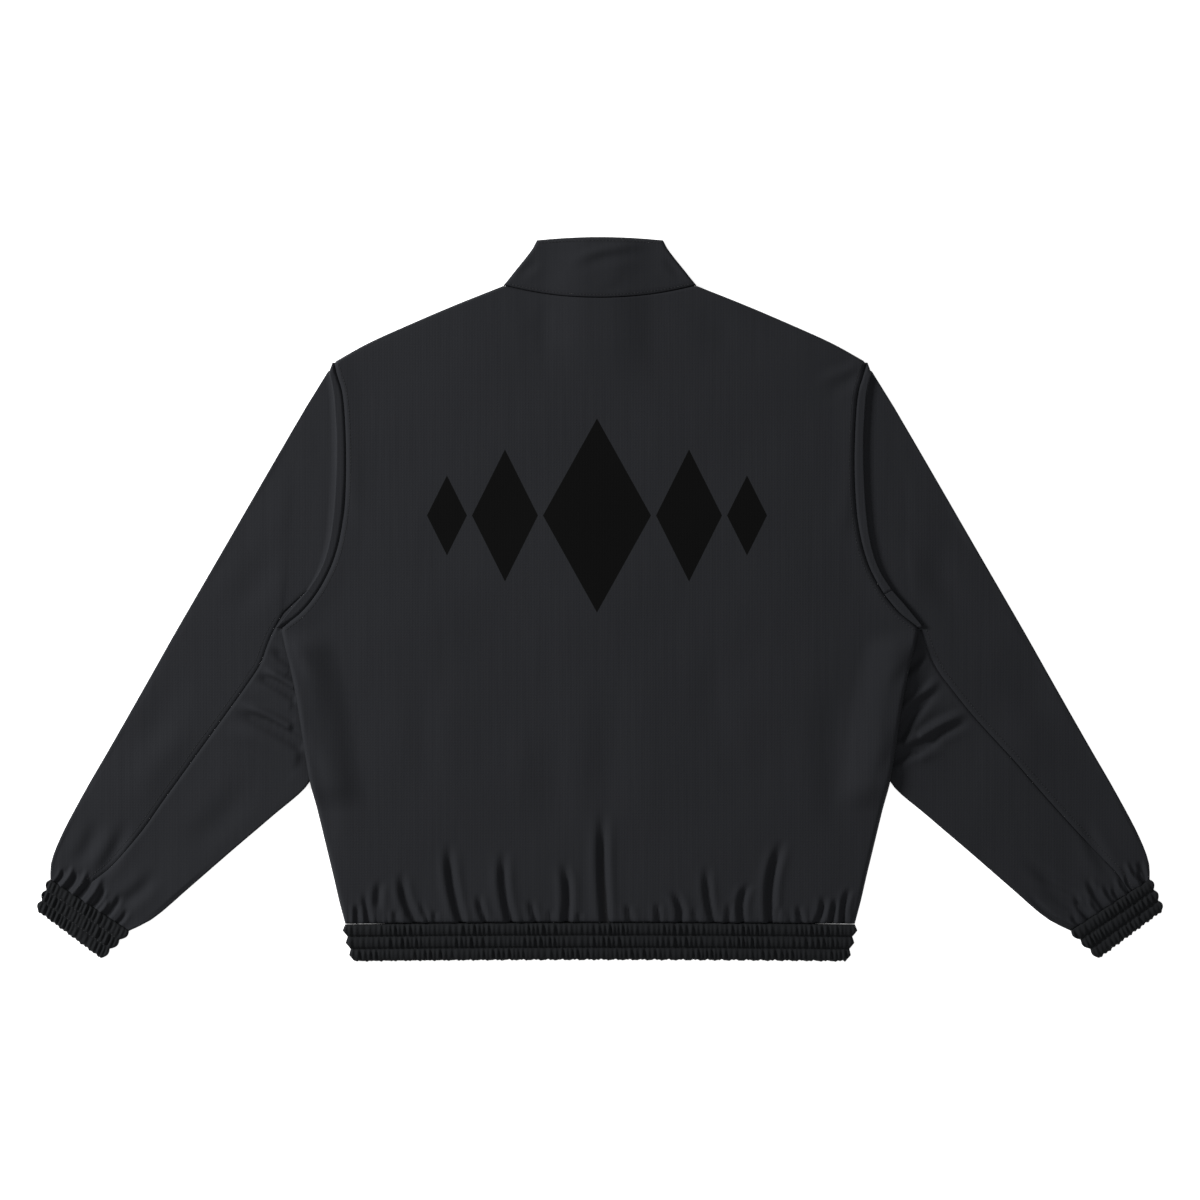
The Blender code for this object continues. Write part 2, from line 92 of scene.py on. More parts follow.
SOFT_FOLDS = (
    (-281, -60, -266, -300, 6, 13, -1.1, 0), (-173, -60, -172, -210, 4, 17, -0.7, 0),
    (-45, -100, -40, -250, 6, 20, -0.8, 0), (24, -35, 10, -250, 8, 22, -0.9, 0),
    (121, -40, 118, -170, 4, 18, -0.6, 0), (240, -60, 238, -250, 6, 16, -1.0, 0),
    (214, 221, 264, 236, 2, 4.5, 1.3, 0), (222, 208, 262, 222, 2, 6.0, -0.8, 0),
    (-262, 150, -246, 60, 4, 9.0, -0.7, 0), (262, 140, 248, 50, -4, 9.0, -0.8, 0),
    (-316, -36, -290, -80, 6, 7.0, -1.2, 0), (314, -40, 292, -90, -6, 7.0, -1.2, 0),
    (-300, -120, -282, -175, 4, 8.0, -1.0, 0), (300, -118, 282, -178, -4, 8.0, -1.0, 0),
    (-60, 296, -40, 250, 6, 14, -0.5, 0), (90, 300, 130, 240, -8, 16, -0.5, 0),
)


def seamless(points, count):
    """The same line through its points as a smooth curve, at evenly spaced steps."""
    p = np.array(points, float)
    ends = np.vstack([2 * p[0] - p[1], p, 2 * p[-1] - p[-2]])
    steps = np.linspace(0, len(p) - 1, 12 * len(p))
    i = np.minimum(steps.astype(int), len(p) - 2)
    t = (steps - i)[:, None]
    a, b, c, d = ends[i], ends[i + 1], ends[i + 2], ends[i + 3]
    curve = 0.5 * (2 * b + (c - a) * t + (2 * a - 5 * b + 4 * c - d) * t ** 2
                   + (3 * b - a - 3 * c + d) * t ** 3)
    run = np.concatenate([[0], np.cumsum(np.linalg.norm(np.diff(curve, axis=0), axis=1))])
    at = np.linspace(0, run[-1], count)
    return np.column_stack([np.interp(at, run, curve[:, k]) for k in range(p.shape[1])])


def soft(value, start, end):
    """0 at start and 1 at end, eased at both."""
    t = np.clip((np.asarray(value, float) - start) / (end - start), 0, 1)
    return t * t * (3 - 2 * t)


def distance_to(line, x, y):
    """How far each point lies from a line of points."""
    best = np.full(np.shape(x), 1e9)
    for (ax, ay), (bx, by) in zip(line, line[1:]):
        dx, dy = bx - ax, by - ay
        t = np.clip(((x - ax) * dx + (y - ay) * dy) / (dx * dx + dy * dy), 0, 1)
        best = np.minimum(best, np.hypot(x - ax - t * dx, y - ay - t * dy))
    return best


def creased(x, y, table):
    """The height that a table of creases adds: a trough with soft shoulders, or a ridge."""
    total = np.zeros(np.shape(x))
    for row in table:
        c = dict(zip(FIELDS_CREASE, row))
        dx, dy = c["x1"] - c["x0"], c["y1"] - c["y0"]
        length = math.hypot(dx, dy)
        along = ((x - c["x0"]) * dx + (y - c["y0"]) * dy) / length ** 2
        across = ((x - c["x0"]) * dy - (y - c["y0"]) * dx) / length
        off = across - c["bow"] * np.sin(np.pi * np.clip(along, 0, 1))
        fade = soft(along, 0, 0.45)
        if not c["open_end"]:
            fade = fade * (1 - soft(along, 0.6, 1))
        else:
            fade = fade * (1 - soft(along, 1.0, 1.1))
        q = off / c["width"]
        total += c["height"] * fade * (1 - 0.8 * q * q) * np.exp(-0.5 * q * q)
    return total


def undulation(x, y, height, span, seed):
    """A slow swell of cloth that isn't pulled tight, from a few crossing waves."""
    draw = np.random.default_rng(seed)
    total = np.zeros(np.shape(x))
    for _ in range(7):
        angle, phase = draw.uniform(0, np.pi), draw.uniform(0, 2 * np.pi)
        wave = span * draw.uniform(0.6, 1.6)
        total += np.sin(2 * np.pi * (x * np.cos(angle) + y * np.sin(angle)) / wave + phase)
    return height * total / 2.6


def pull_lift(x, y):
    """The slider and its pull tab under the collar lift the cloth over them."""
    return SLIDER_LIFT * (1 - soft(np.abs(x), 10, 60)) * np.minimum(
        soft(y, 205, 268), 1 - soft(y, 332, 388))


def side_x(y):
    """Half the body's width at a height on the panel."""
    return np.interp(y, [p[1] for p in BACK_SIDE], [p[0] for p in BACK_SIDE])


def side_raise(x, y):
    """The body's side lies on the under sleeve."""
    inwards = side_x(y) - np.abs(x)
    levels = np.minimum(soft(y, -212, -183), 1 - soft(y, -52, -29))
    return SIDE_LIFT * (1 - soft(inwards, 16, 54)) * levels


def body_height(x, y):
    """Height of the outside of the back, before its sides roll down."""
    half = np.interp(y, *zip(*BODY_HALF_WIDTHS))
    across = np.clip(1 - (x / half) ** 2, 0, 1)
    along = np.clip(1 - ((y - BODY_MIDDLE_Y) / BODY_HALF_LENGTH) ** 2, 0, 1)
    height = TOP_LEVEL + CROWN * np.sqrt(across * along + 1e-9) + pull_lift(x, y)
    height += side_raise(x, y)
    near_hole = distance_to(ARMHOLE, np.abs(x), y)
    height += HOLE_SWELL * np.exp(-(near_hole / HOLE_SWELL_WIDTH) ** 2)
    height += HEM_CREASE_GAIN * creased(x, y, HEM_CREASES)
    height += SOFT_FOLD_GAIN * creased(x, y, SOFT_FOLDS)
    # Shirring: the fullness that the hem band takes in shows as fine ripples over it.
    fine = np.sin(x * 1.05 + 2.1 * np.sin(x * 0.083)) + 0.6 * np.sin(x * 0.61 + 1.3)
    height += SHIRRING_HEIGHT * fine * np.exp(-(y - HEM_Y) / SHIRRING_REACH)
    height += undulation(x, y, height=0.5, span=150, seed=3)
    return height


def seam_groove(line, x, y, depth=1.2, width=1.7):
    """How far a seam pulls the cloth in along its line."""
    return -depth * np.exp(-(distance_to(line, x, y) / width) ** 2)


def cloth_piece(name, columns, rows, shape, wall=WALL):
    """A grid of cloth bent by shape(u, v), which gives millimetres, with a wall inside."""
    bm = bmesh.new()
    bm.loops.layers.uv.new("cloth")
    bmesh.ops.create_grid(bm, x_segments=columns, y_segments=rows, size=0.5, calc_uvs=True)
    flat = np.array([vert.co[:2] for vert in bm.verts]) + 0.5
    placed = np.column_stack(shape(flat[:, 0], flat[:, 1])) * MM
    for vert, co in zip(bm.verts, placed):
        vert.co = co
    bm.normal_update()
    highest = max(bm.faces, key=lambda face: face.calc_center_median().z)
    if abs(highest.normal.z) > 0.2 and highest.normal.z < 0:
        bmesh.ops.reverse_faces(bm, faces=bm.faces)
    mesh = bpy.data.meshes.new(name)
    bm.to_mesh(mesh)
    bm.free()
    mesh.shade_smooth()
    piece = bpy.data.objects.new(name, mesh)
    bpy.context.scene.collection.objects.link(piece)
    if wall:
        solid = piece.modifiers.new("cloth wall", "SOLIDIFY")
        solid.thickness = wall * MM
        solid.offset = -1.0
    return piece


def linear(hex_colour):
    """Linear colour of an sRGB hex value such as #222326."""
    values = [int(hex_colour[i:i + 2], 16) / 255 for i in (1, 3, 5)]
    return [v / 12.92 if v <= 0.04045 else ((v + 0.055) / 1.055) ** 2.4 for v in values] + [1.0]


def node(material, kind, links=(), **settings):
    """Adds a node: attributes and inputs by name, then (input, from_node, output) links."""
    made = material.node_tree.nodes.new(kind)
    for key, value in settings.items():
        if hasattr(made, key):
            setattr(made, key, value)
        else:
            made.inputs[key].default_value = value
    for target, source, output in links:
        material.node_tree.links.new(source.outputs[output], made.inputs[target])
    return made


def woven(name, hex_dark, hex_light, thread_mm, roughness, gloss, bump):
    """Plain weave: two sets of crossing threads, with slubs along the warp and fine lint."""
    material = bpy.data.materials.new(name)
    material.use_nodes = True
    shader = material.node_tree.nodes["Principled BSDF"]
    shader.inputs["Roughness"].default_value = roughness
    shader.inputs["Specular IOR Level"].default_value = gloss
    coords = node(material, "ShaderNodeTexCoord")
    # A wave texture repeats every pi / 10 metres at scale 1, so its bands lie pi times
    # thread_mm apart. That is far coarser than the real weave, so that it still shows.
    bands = 0.1 / (thread_mm * MM)
    warp = node(material, "ShaderNodeTexWave", [("Vector", coords, "Object")],
                bands_direction="X", Scale=bands, Distortion=0.6)
    weft = node(material, "ShaderNodeTexWave", [("Vector", coords, "Object")],
                bands_direction="Y", Scale=bands, Distortion=0.6)
    cross = node(material, "ShaderNodeMath", [(0, warp, "Fac"), (1, weft, "Fac")],
                 operation="MULTIPLY")
    lint = node(material, "ShaderNodeTexNoise", [("Vector", coords, "Object")],
                Scale=900.0, Detail=3.0)
    # Slubs are short across the warp and long along it.
    stretch = node(material, "ShaderNodeMapping", [("Vector", coords, "Object")])
    stretch.inputs["Scale"].default_value = (260.0, 9.0, 1.0)
    slub = node(material, "ShaderNodeTexNoise", [("Vector", stretch, "Vector")],
                Scale=1.0, Detail=2.0)
    tone = node(material, "ShaderNodeMath", [(0, lint, "Fac"), (1, slub, "Fac")],
                operation="ADD")
    half = node(material, "ShaderNodeMath", [(0, tone, 0)], operation="MULTIPLY")
    half.inputs[1].default_value = 0.5
    colour = node(material, "ShaderNodeMix", [(0, half, 0)], data_type="RGBA")
    colour.inputs[6].default_value = linear(hex_dark)
    colour.inputs[7].default_value = linear(hex_light)
    relief = node(material, "ShaderNodeMath", [(0, cross, 0), (1, lint, "Fac")],
                  operation="ADD")
    rough = node(material, "ShaderNodeBump", [("Height", relief, 0)])
    rough.inputs["Strength"].default_value = bump
    rough.inputs["Distance"].default_value = 0.25 * MM
    links = material.node_tree.links
    links.new(colour.outputs[2], shader.inputs["Base Color"])
    links.new(rough.outputs["Normal"], shader.inputs["Normal"])
    return material, shader, colour


def finish(piece, material, body, replaced):
    """Gives a cloth piece its material and body, and hides the CAD parts it replaces."""
    piece.data.materials.append(material)
    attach(piece, body)
    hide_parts(*replaced)


SHELL_LOOK = {"hex_dark": "#1b1c1f", "hex_light": "#252629", "thread_mm": 0.9,
              "roughness": 0.92, "gloss": 0.12, "bump": 0.35}
shell_cloth, _, _ = woven("plain weave polyester", **SHELL_LOOK)

side_line = seamless(BACK_SIDE, 120)
hole_line = seamless(ARMHOLE, 120)
shoulder_line = seamless(BACK_SHOULDER, 60)
outline = np.vstack([side_line, hole_line[1:], shoulder_line[1:]])
outline_run = np.concatenate(
    [[0], np.cumsum(np.linalg.norm(np.diff(outline, axis=0), axis=1))])
outline_run /= outline_run[-1]


def spread(u, tight=0.25):
    """-1 to 1 across a panel, with its columns closer together at both edges."""
    t = 2 * u - 1
    return t * (1 + tight * (1 - t * t))


HEM_ROWS, HEM_RUN = 0.34, 0.15      # a third of the rows serve the creased hem


def back_shape(u, v):
    """The back from side to side (u) and from hem to neck (v)."""
    run = np.interp(v, [0, HEM_ROWS, 1], [0, HEM_RUN, 1])
    edge_x = np.interp(run, outline_run, outline[:, 0])
    edge_y = np.interp(run, outline_run, outline[:, 1])
    on_shoulder = np.clip((edge_y - SHOULDER_Y) / (NECK_Y - SHOULDER_Y), 0, 1)
    t = spread(u)
    x = t * edge_x
    hem_bow = HEM_BOW * soft(-edge_y, 290, -HEM_Y)
    y = edge_y - NECK_DIP * on_shoulder * (1 - t * t) + hem_bow * (1 - t * t)
    z = body_height(x, y)
    hem_line = [(at, HEM_Y + HEM_BOW * share)
                for at, share in ((-260, 0), (-130, 0.75), (0, 1), (130, 0.75), (260, 0))]
    z = z + seam_groove(hem_line, x, y) + seam_groove(hole_line, np.abs(x), y, depth=1.6)
    inwards = edge_x - np.abs(x)
    roll = np.sqrt(np.clip(1 - (1 - np.clip(inwards / SIDE_ROLL, 0, 1)) ** 2, 0, 1))
    in_hole = soft(edge_y, PIT_Y - 4, PIT_Y + 8) * (1 - soft(edge_y, SHOULDER_Y - 12, SHOULDER_Y))
    low = SIDE_EDGE_LEVEL + side_raise(edge_x, edge_y)
    rolled = low + (z - low) * roll
    return x, y, rolled * (1 - in_hole) + z * in_hole


back = cloth_piece("back_panel", columns=226, rows=186, shape=back_shape)

# The print on the back is a plain row of five lozenges, the largest in the middle.
PRINT_CENTRE = (-3.0, 84.0)
PRINT_LOZENGES = ((0.0, 54.0, 97.0), (92.0, 33.0, 66.0), (-92.0, 33.0, 66.0),
                  (150.0, 20.0, 40.0), (-150.0, 20.0, 40.0))


def printed(name):
    """Matt black plastisol ink that a screen left on the cloth, drawn in the colour only."""
    material, shader, colour = woven(name, **SHELL_LOOK)
    coords = node(material, "ShaderNodeTexCoord")
    split = node(material, "ShaderNodeSeparateXYZ", [("Vector", coords, "Object")])
    mask = None
    for offset, half_x, half_y in PRINT_LOZENGES:
        across = node(material, "ShaderNodeMath", [(0, split, "X")], operation="SUBTRACT")
        across.inputs[1].default_value = (PRINT_CENTRE[0] + offset) * MM
        up = node(material, "ShaderNodeMath", [(0, split, "Y")], operation="SUBTRACT")
        up.inputs[1].default_value = PRINT_CENTRE[1] * MM
        sizes = []
        for source, half in ((across, half_x), (up, half_y)):
            size = node(material, "ShaderNodeMath", [(0, source, 0)], operation="ABSOLUTE")
            scaled = node(material, "ShaderNodeMath", [(0, size, 0)], operation="DIVIDE")
            scaled.inputs[1].default_value = half * MM
            sizes.append(scaled)
        total = node(material, "ShaderNodeMath", [(0, sizes[0], 0), (1, sizes[1], 0)],
                     operation="ADD")
        inside = node(material, "ShaderNodeMath", [(0, total, 0)], operation="LESS_THAN")
        inside.inputs[1].default_value = 1.0
        if mask is not None:
            inside = node(material, "ShaderNodeMath", [(0, mask, 0), (1, inside, 0)],
                          operation="MAXIMUM")
        mask = inside
    ink = node(material, "ShaderNodeMix", [(0, mask, 0), (6, colour, 2)], data_type="RGBA")
    ink.inputs[7].default_value = linear("#020202")
    material.node_tree.links.new(ink.outputs[2], shader.inputs["Base Color"])
    return material


finish(back, printed("screen printed plain weave"), "jacket", ["back"])

# ---------------------------------------------------------------------------
# Fronts. Two plain panels of the same cloth, hidden under the back. They lie flat on
# the surface, are sewn to the zip tape, and rise with the sides over the sleeves.
# ---------------------------------------------------------------------------
ZIP_EDGE = 5.6          # half the gap that the zip fills
FRONT_NECK_DIP = 59.0
FRONT_INSET = 0.6       # how far the fronts stay inside the back at the side seams
REST_LEVEL = 0.3        # outside of what lies on the surface


def front_shape(side):
    """A front from its zip edge to its side seam (u) and from hem to neck (v)."""
    def shape(u, v):
        edge_x = np.interp(v, outline_run, outline[:, 0]) - FRONT_INSET
        edge_y = np.interp(v, outline_run, outline[:, 1])
        on_shoulder = np.clip((edge_y - SHOULDER_Y) / (NECK_Y - SHOULDER_Y), 0, 1)
        x = ZIP_EDGE + (edge_x - ZIP_EDGE) * u
        y = edge_y - FRONT_NECK_DIP * on_shoulder * (1 - (x / edge_x) ** 2)
        z = REST_LEVEL + pull_lift(x, y) + side_raise(x, y) * 0.98
        return side * x, y, z
    return shape


for side, suffix in ((-1, "left"), (1, "right")):
    front = cloth_piece("front_panel_" + suffix, columns=60, rows=90,
                        shape=front_shape(side))
    for polygon in front.data.polygons:
        polygon.flip()
    finish(front, shell_cloth, "jacket", ["front_" + suffix])

# ---------------------------------------------------------------------------
# Collar. A stand collar of the shell cloth, doubled and turned, sewn into the neck
# seam and topstitched. It lies flat, its front halves under its back.
# ---------------------------------------------------------------------------
COLLAR_EDGE = ((96.5, 314.4), (91.0, 321.0), (85.5, 328.0), (79.0, 336.0), (73.0, 343.5),
               (67.5, 351.0), (64.6, 356.5), (63.0, 359.5))
COLLAR_CREASES = ((-34, 338, 52, 353, -5, 5.0, 1.1, 0), (-30, 329, 44, 343, -4, 6.0, -0.9, 0),
                  (-84, 322, -60, 340, 0, 5.0, -0.7, 0), (84, 322, 62, 342, 0, 5.0, -0.7, 0),
                  (-10, 306, 30, 318, 3, 7.0, -0.5, 0))
COLLAR_TOP_SHARE = 0.56                 # share of the band's width that is seen
COLLAR_HEIGHT, COLLAR_STAND = 58, 0.9
COLLAR_BACK_RISE, COLLAR_FRONT_RISE = 15.5, 19.0    # from the seam to the top edge
COLLAR_STITCHES = (3.2, 53.5)           # heights of the two topstitched rows
COLLAR_STEPS = 60


def wrap(u, top_share, edge_x, top_level):
    """Round a flattened band from zip to zip: x, and 1 on its upper side, 0 underneath."""
    radius = top_level / 2
    s = np.abs(2 * u - 1)
    across = np.sign(2 * u - 1)
    top = s <= top_share
    fold_share = 0.05
    in_fold = (s > top_share) & (s <= top_share + fold_share)
    angle = np.clip((s - top_share) / fold_share, 0, 1) * np.pi
    top_x = (edge_x - radius) * np.clip(s / top_share, 0, 1)
    fold_x = edge_x - radius + radius * np.sin(angle)
    back_run = np.clip((s - top_share - fold_share) / (1 - top_share - fold_share), 0, 1)
    under_x = (edge_x - radius) + (ZIP_EDGE - edge_x + radius) * back_run
    x = np.where(top, top_x, np.where(in_fold, fold_x, under_x))
    level = np.where(top, 1.0, np.where(in_fold, (1 + np.cos(angle)) / 2, 0.0))
    return across * x, level


def stitched_dent(run, at):
    """The shallow dent that a row of topstitching pulls in."""
    return 0.5 * np.exp(-(run - at) ** 2)


def collar_shape(u, v):
    """The collar round the neck (u) and from its seam to its top edge (v)."""
    edge = seamless(COLLAR_EDGE, COLLAR_STEPS)
    at = np.linspace(0, 1, COLLAR_STEPS)
    edge_x, edge_y = np.interp(v, at, edge[:, 0]), np.interp(v, at, edge[:, 1])
    x, level = wrap(u, COLLAR_TOP_SHARE, edge_x, TOP_LEVEL)
    shape = 1 - np.clip(np.abs(x) / (edge_x - 2), 0, 1) ** 2
    back_dip = NECK_DIP - COLLAR_BACK_RISE * v
    front_dip = FRONT_NECK_DIP - COLLAR_FRONT_RISE * v
    y = edge_y - shape * (level * back_dip + (1 - level) * front_dip)
    up = v * COLLAR_HEIGHT
    top = TOP_LEVEL + COLLAR_STAND + pull_lift(x, y) + creased(x, y, COLLAR_CREASES)
    top = top + undulation(x, y, height=0.35, span=60, seed=9)
    top = top - 1.5 * np.exp(-(up / 1.8) ** 2) - stitched_dent(up, COLLAR_STITCHES[0])
    top = top - 2.4 * soft(v, 0.955, 1.0) - stitched_dent(up, COLLAR_STITCHES[1])
    low = REST_LEVEL + pull_lift(x, y)
    return x, y, low + (top - low) * level


collar = cloth_piece("stand_collar", columns=240, rows=44, shape=collar_shape, wall=1.0)
finish(collar, shell_cloth, "jacket", ["collar"])

# ---------------------------------------------------------------------------
# Sleeves. Each is cut in two pieces, an upper and an under sleeve, joined by a seam
# down the back and one underneath. The sleeve head folds over in a narrow strip
# along the armhole, and two elbow tucks take up fullness in the under sleeve.
# ---------------------------------------------------------------------------
HEAD_FOLD = ((270.5, 229.0), (267.5, 215.0), (265.5, 200.0), (263.2, 163.0), (263.6, 124.0),
             (265.5, 92.0), (268.5, 66.0), (273.5, 44.0), (281.0, 26.0), (292.0, 9.0),
             (306.0, -7.0), (323.0, -28.0))
HEAD_SPLIT = 9          # the point of the fold where the back seam comes out
FIELDS_SLEEVE = ("outer_x", "outer_y", "left_x", "left_y", "right_x", "right_y",
                 "lower_x", "lower_y")
SLEEVE = (
    (294.0, 193.0, 316.5, -14.0, 313.0, -17.0, 315.0, -33.0),
    (322.0, 145.0, 326.5, -31.0, 323.0, -36.0, 309.0, -47.0),
    (351.5, 94.0, 333.0, -46.0, 329.0, -53.0, 303.0, -59.0),
    (377.5, 49.0, 340.0, -65.0, 338.0, -71.0, 296.0, -73.0),
    (403.0, 5.0, 353.0, -85.0, 353.0, -91.0, 291.0, -92.0),
    (425.0, -33.0, 370.0, -109.0, 371.0, -113.5, 286.0, -124.0),
    (447.0, -72.0, 391.0, -138.0, 393.0, -138.0, 284.0, -156.0),
    (468.5, -110.0, 412.0, -167.0, 417.0, -164.0, 292.0, -185.0),
    (492.5, -152.0, 438.0, -203.0, 443.0, -194.0, 328.0, -217.0),
    (514.5, -190.0, 460.0, -234.0, 470.0, -224.0, 369.0, -252.0),
    (537.5, -233.0, 489.0, -267.0, 500.0, -256.0, 411.0, -288.5),
    (549.0, -262.0, 510.0, -284.0, 518.0, -275.0, 446.0, -318.5),
    (550.0, -281.0, 524.0, -298.0, 530.0, -294.1, 472.0, -332.0),
)
SLEEVE_ROWS, SLEEVE_COLUMNS = 44, 40
SLEEVE_TOP_END, SLEEVE_FOLD_END = 0.7, 0.78     # shares of the way round, to the underside
SLEEVE_CREASE_GAIN = 1.25
LOWEST_TROUGH = 1.6
SLEEVE_LEVEL = 3.9      # outside of the sleeve's upper side
STRIP_LEVEL = 8.0       # top of the folded strip along the armhole
SLEEVE_CREASES = {
    "left": (
        (340, -67, 306, -86, 0, 4.5, 2.0, 1), (345, -76, 306, -97, 2, 5.0, -2.6, 1),
        (366, -103, 312, -127, 2, 4.5, 2.2, 1), (366, -112, 300, -144, 3, 6.0, -3.0, 1),
        (380, -128, 305, -160, 4, 8.0, 1.2, 1), (330, -48, 308, -66, 0, 5.0, -1.6, 1),
        (330, 60, 372, -20, 8, 16, -1.0, 0), (420, -60, 470, -160, 8, 18, -0.9, 0),
        (345, -170, 420, -255, 8, 14, -1.0, 0), (400, -120, 470, -215, -8, 16, 0.8, 0),
        (500, -215, 528, -270, 4, 8, -1.2, 0), (440, -268, 492, -312, 5, 7, -1.4, 0),
        (292, 150, 310, 40, 6, 14, -0.8, 0), (470, -215, 510, -288, 4, 7, -1.4, 0),
    ),
    "right": (
        (343, -77, 306, -108, 0, 4.5, 2.2, 1), (338, -88, 298, -138, 5, 6.5, -3.6, 1),
        (371, -112, 322, -136, 2, 4.5, 2.2, 1), (345, -142, 292, -160, 3, 6.0, -3.2, 1),
        (372, -120, 318, -150, 3, 5.0, -2.0, 1), (326, -52, 306, -72, 0, 5.0, -2.0, 1),
        (330, 60, 372, -20, 8, 16, -1.0, 0), (425, -60, 475, -160, 8, 18, -0.9, 0),
        (420, -258, 502, -302, 6, 6.5, -2.2, 0), (436, -284, 500, -314, 5, 6.0, -2.2, 0),
        (424, -292, 476, -332, 6, 4.0, -2.4, 1), (538, -260, 546, -280, 0, 3.5, -2.0, 1),
        (292, 150, 310, 40, 6, 14, -0.8, 0), (480, -215, 520, -284, 4, 7, -1.4, 0),
    ),
}
# Gathers into the cuff: share of the cuff seam from its outer end, how far up the
# sleeve, how wide and how high.
FIELDS_GATHER = ("share", "length", "width", "height")
CUFF_GATHERS = {
    "left": ((0.06, 14, 2.2, -2.0), (0.13, 20, 2.4, 1.9), (0.2, 18, 2.0, -2.2),
             (0.28, 24, 2.6, 2.0), (0.36, 20, 2.2, -2.4), (0.45, 26, 3.0, 2.2),
             (0.54, 20, 2.2, -2.4), (0.63, 14, 2.4, 1.6), (0.72, 22, 2.8, -1.8),
             (0.86, 16, 2.6, -1.4)),
    "right": ((0.05, 12, 2.0, -2.0), (0.12, 24, 2.8, 2.0), (0.2, 14, 2.0, -2.0),
              (0.3, 18, 2.4, 1.6), (0.38, 12, 2.0, -1.8), (0.48, 20, 2.6, 1.6),
              (0.57, 30, 3.2, -2.2), (0.67, 16, 2.4, 1.6), (0.77, 24, 3.0, -2.2),
              (0.9, 12, 2.4, -1.4)),
}


def cuff_creases(suffix):
    """The gathers as rows of creases that run down into the cuff seam."""
    outer, lower = np.array(SLEEVE[-1][:2]), np.array(SLEEVE[-1][6:])
    up = np.array((-0.5, 0.866))
    table = []
    for row in CUFF_GATHERS[suffix]:
        g = dict(zip(FIELDS_GATHER, row))
        foot = outer + (lower - outer) * g["share"]
        head = foot + up * g["length"] * 1.3
        table.append((*head, *foot, 2.0, g["width"], g["height"], 1))
    return table


def sleeve_sections(suffix, part):
    """Sections of one piece from the armhole to the cuff: points from seam to edge."""
    hole = np.array(ARMHOLE[::-1])
    tucked = hole - np.array((1.6, 0.0))
    hole_side = hole + np.array((0.7, 0.0))
    fold = np.array(HEAD_FOLD)
    foot = fold + np.array((1.6, -0.7))
    seam_column = FIELDS_SLEEVE.index(suffix + "_x")
    table = seamless(SLEEVE, SLEEVE_ROWS)
    outer, seam = table[:, 0:2], table[:, seam_column:seam_column + 2]
    lower = table[:, 6:8]
    if part == "upper":
        cut = slice(0, HEAD_SPLIT + 1)
        starts = [seamless(line[cut][::-1], SLEEVE_COLUMNS)
                  for line in (tucked, hole_side, fold, foot)]
        ends = outer
    else:
        cut = slice(HEAD_SPLIT, None)
        starts = [seamless(line[cut], SLEEVE_COLUMNS)
                  for line in (tucked, hole_side, fold, foot)]
        ends = lower
    share = np.linspace(0, 1, SLEEVE_COLUMNS)[:, None]
    straight = [s + (e - s) * share for s, e in zip(seam, ends)]
    return np.array(starts + straight)


def sleeve_shape(suffix, side, part):
    """A sleeve piece from its seam round to its underside (u), armhole to cuff (v)."""
    sections = sleeve_sections(suffix, part)
    levels = np.array([STRIP_LEVEL - 3.0, STRIP_LEVEL - 0.4, STRIP_LEVEL, SLEEVE_LEVEL]
                      + [SLEEVE_LEVEL] * (len(sections) - 4))
    creases = list(SLEEVE_CREASES[suffix]) + cuff_creases(suffix)
    last = len(sections) - 1
    seam_line = sections[:, 0, :]
    cuff_line = [tuple(sections[-1, 0]), tuple(sections[-1, -1])]

    def pick(row, share):
        """Plan points at a row between sections and a share from the seam to the edge."""
        column = share * (sections.shape[1] - 1)
        r0 = np.minimum(row.astype(int), last - 1)
        c0 = np.minimum(column.astype(int), sections.shape[1] - 2)
        fr, fc = (row - r0)[:, None], (column - c0)[:, None]
        near = sections[r0, c0] * (1 - fc) + sections[r0, c0 + 1] * fc
        far = sections[r0 + 1, c0] * (1 - fc) + sections[r0 + 1, c0 + 1] * fc
        return near * (1 - fr) + far * fr

    def shape(u, v):
        row = np.interp(v, [0, 0.02, 0.10, 0.15, 0.22, 0.82, 1],
                        [0, 1, 2, 3, 5, last - 7, last])
        top, below = u <= SLEEVE_TOP_END, u > SLEEVE_FOLD_END
        in_fold = ~top & ~below
        share = np.where(top, u / SLEEVE_TOP_END,
                         np.where(in_fold, 1.0, (1 - u) / (1 - SLEEVE_FOLD_END)))
        fold_run = (u - SLEEVE_TOP_END) / (SLEEVE_FOLD_END - SLEEVE_TOP_END)
        angle = np.clip(fold_run, 0, 1) * np.pi
        plan = pick(row, share)
        inner = pick(row, np.full_like(share, 0.9))
        edge = pick(row, np.ones_like(share))
        out = edge - inner
        out /= np.maximum(np.linalg.norm(out, axis=1), 1e-6)[:, None]
        level = np.interp(row, np.arange(last + 1), levels)
        x, y = plan[:, 0], plan[:, 1]
        relief = SLEEVE_CREASE_GAIN * creased(x, y, creases)
        relief += undulation(x, y, height=0.55, span=90, seed=5 + side)
        fade = soft(row, 2.9, 6) * (1 - soft(share, 0.93, 1.0) * 0.8)
        seams = (seam_groove(seam_line, x, y, 1.0, 1.5) * soft(row, 2.5, 4)
                 + seam_groove(cuff_line, x, y, 1.2, 1.8)
                 + seam_groove(hole_line, x, y, 1.6, 1.7))
        high = level + relief * fade + seams
        high = np.maximum(high, LOWEST_TROUGH)
        radius = level / 2
        shift = np.where(top | below, share ** 8, 1.0) - np.sin(angle) * in_fold
        x = x - out[:, 0] * radius * shift
        y = y - out[:, 1] * radius * shift
        height = np.where(top, high, np.where(
            in_fold, REST_LEVEL + (high - REST_LEVEL) * (1 + np.cos(angle)) / 2, REST_LEVEL))
        return side * x, y, height
    return shape


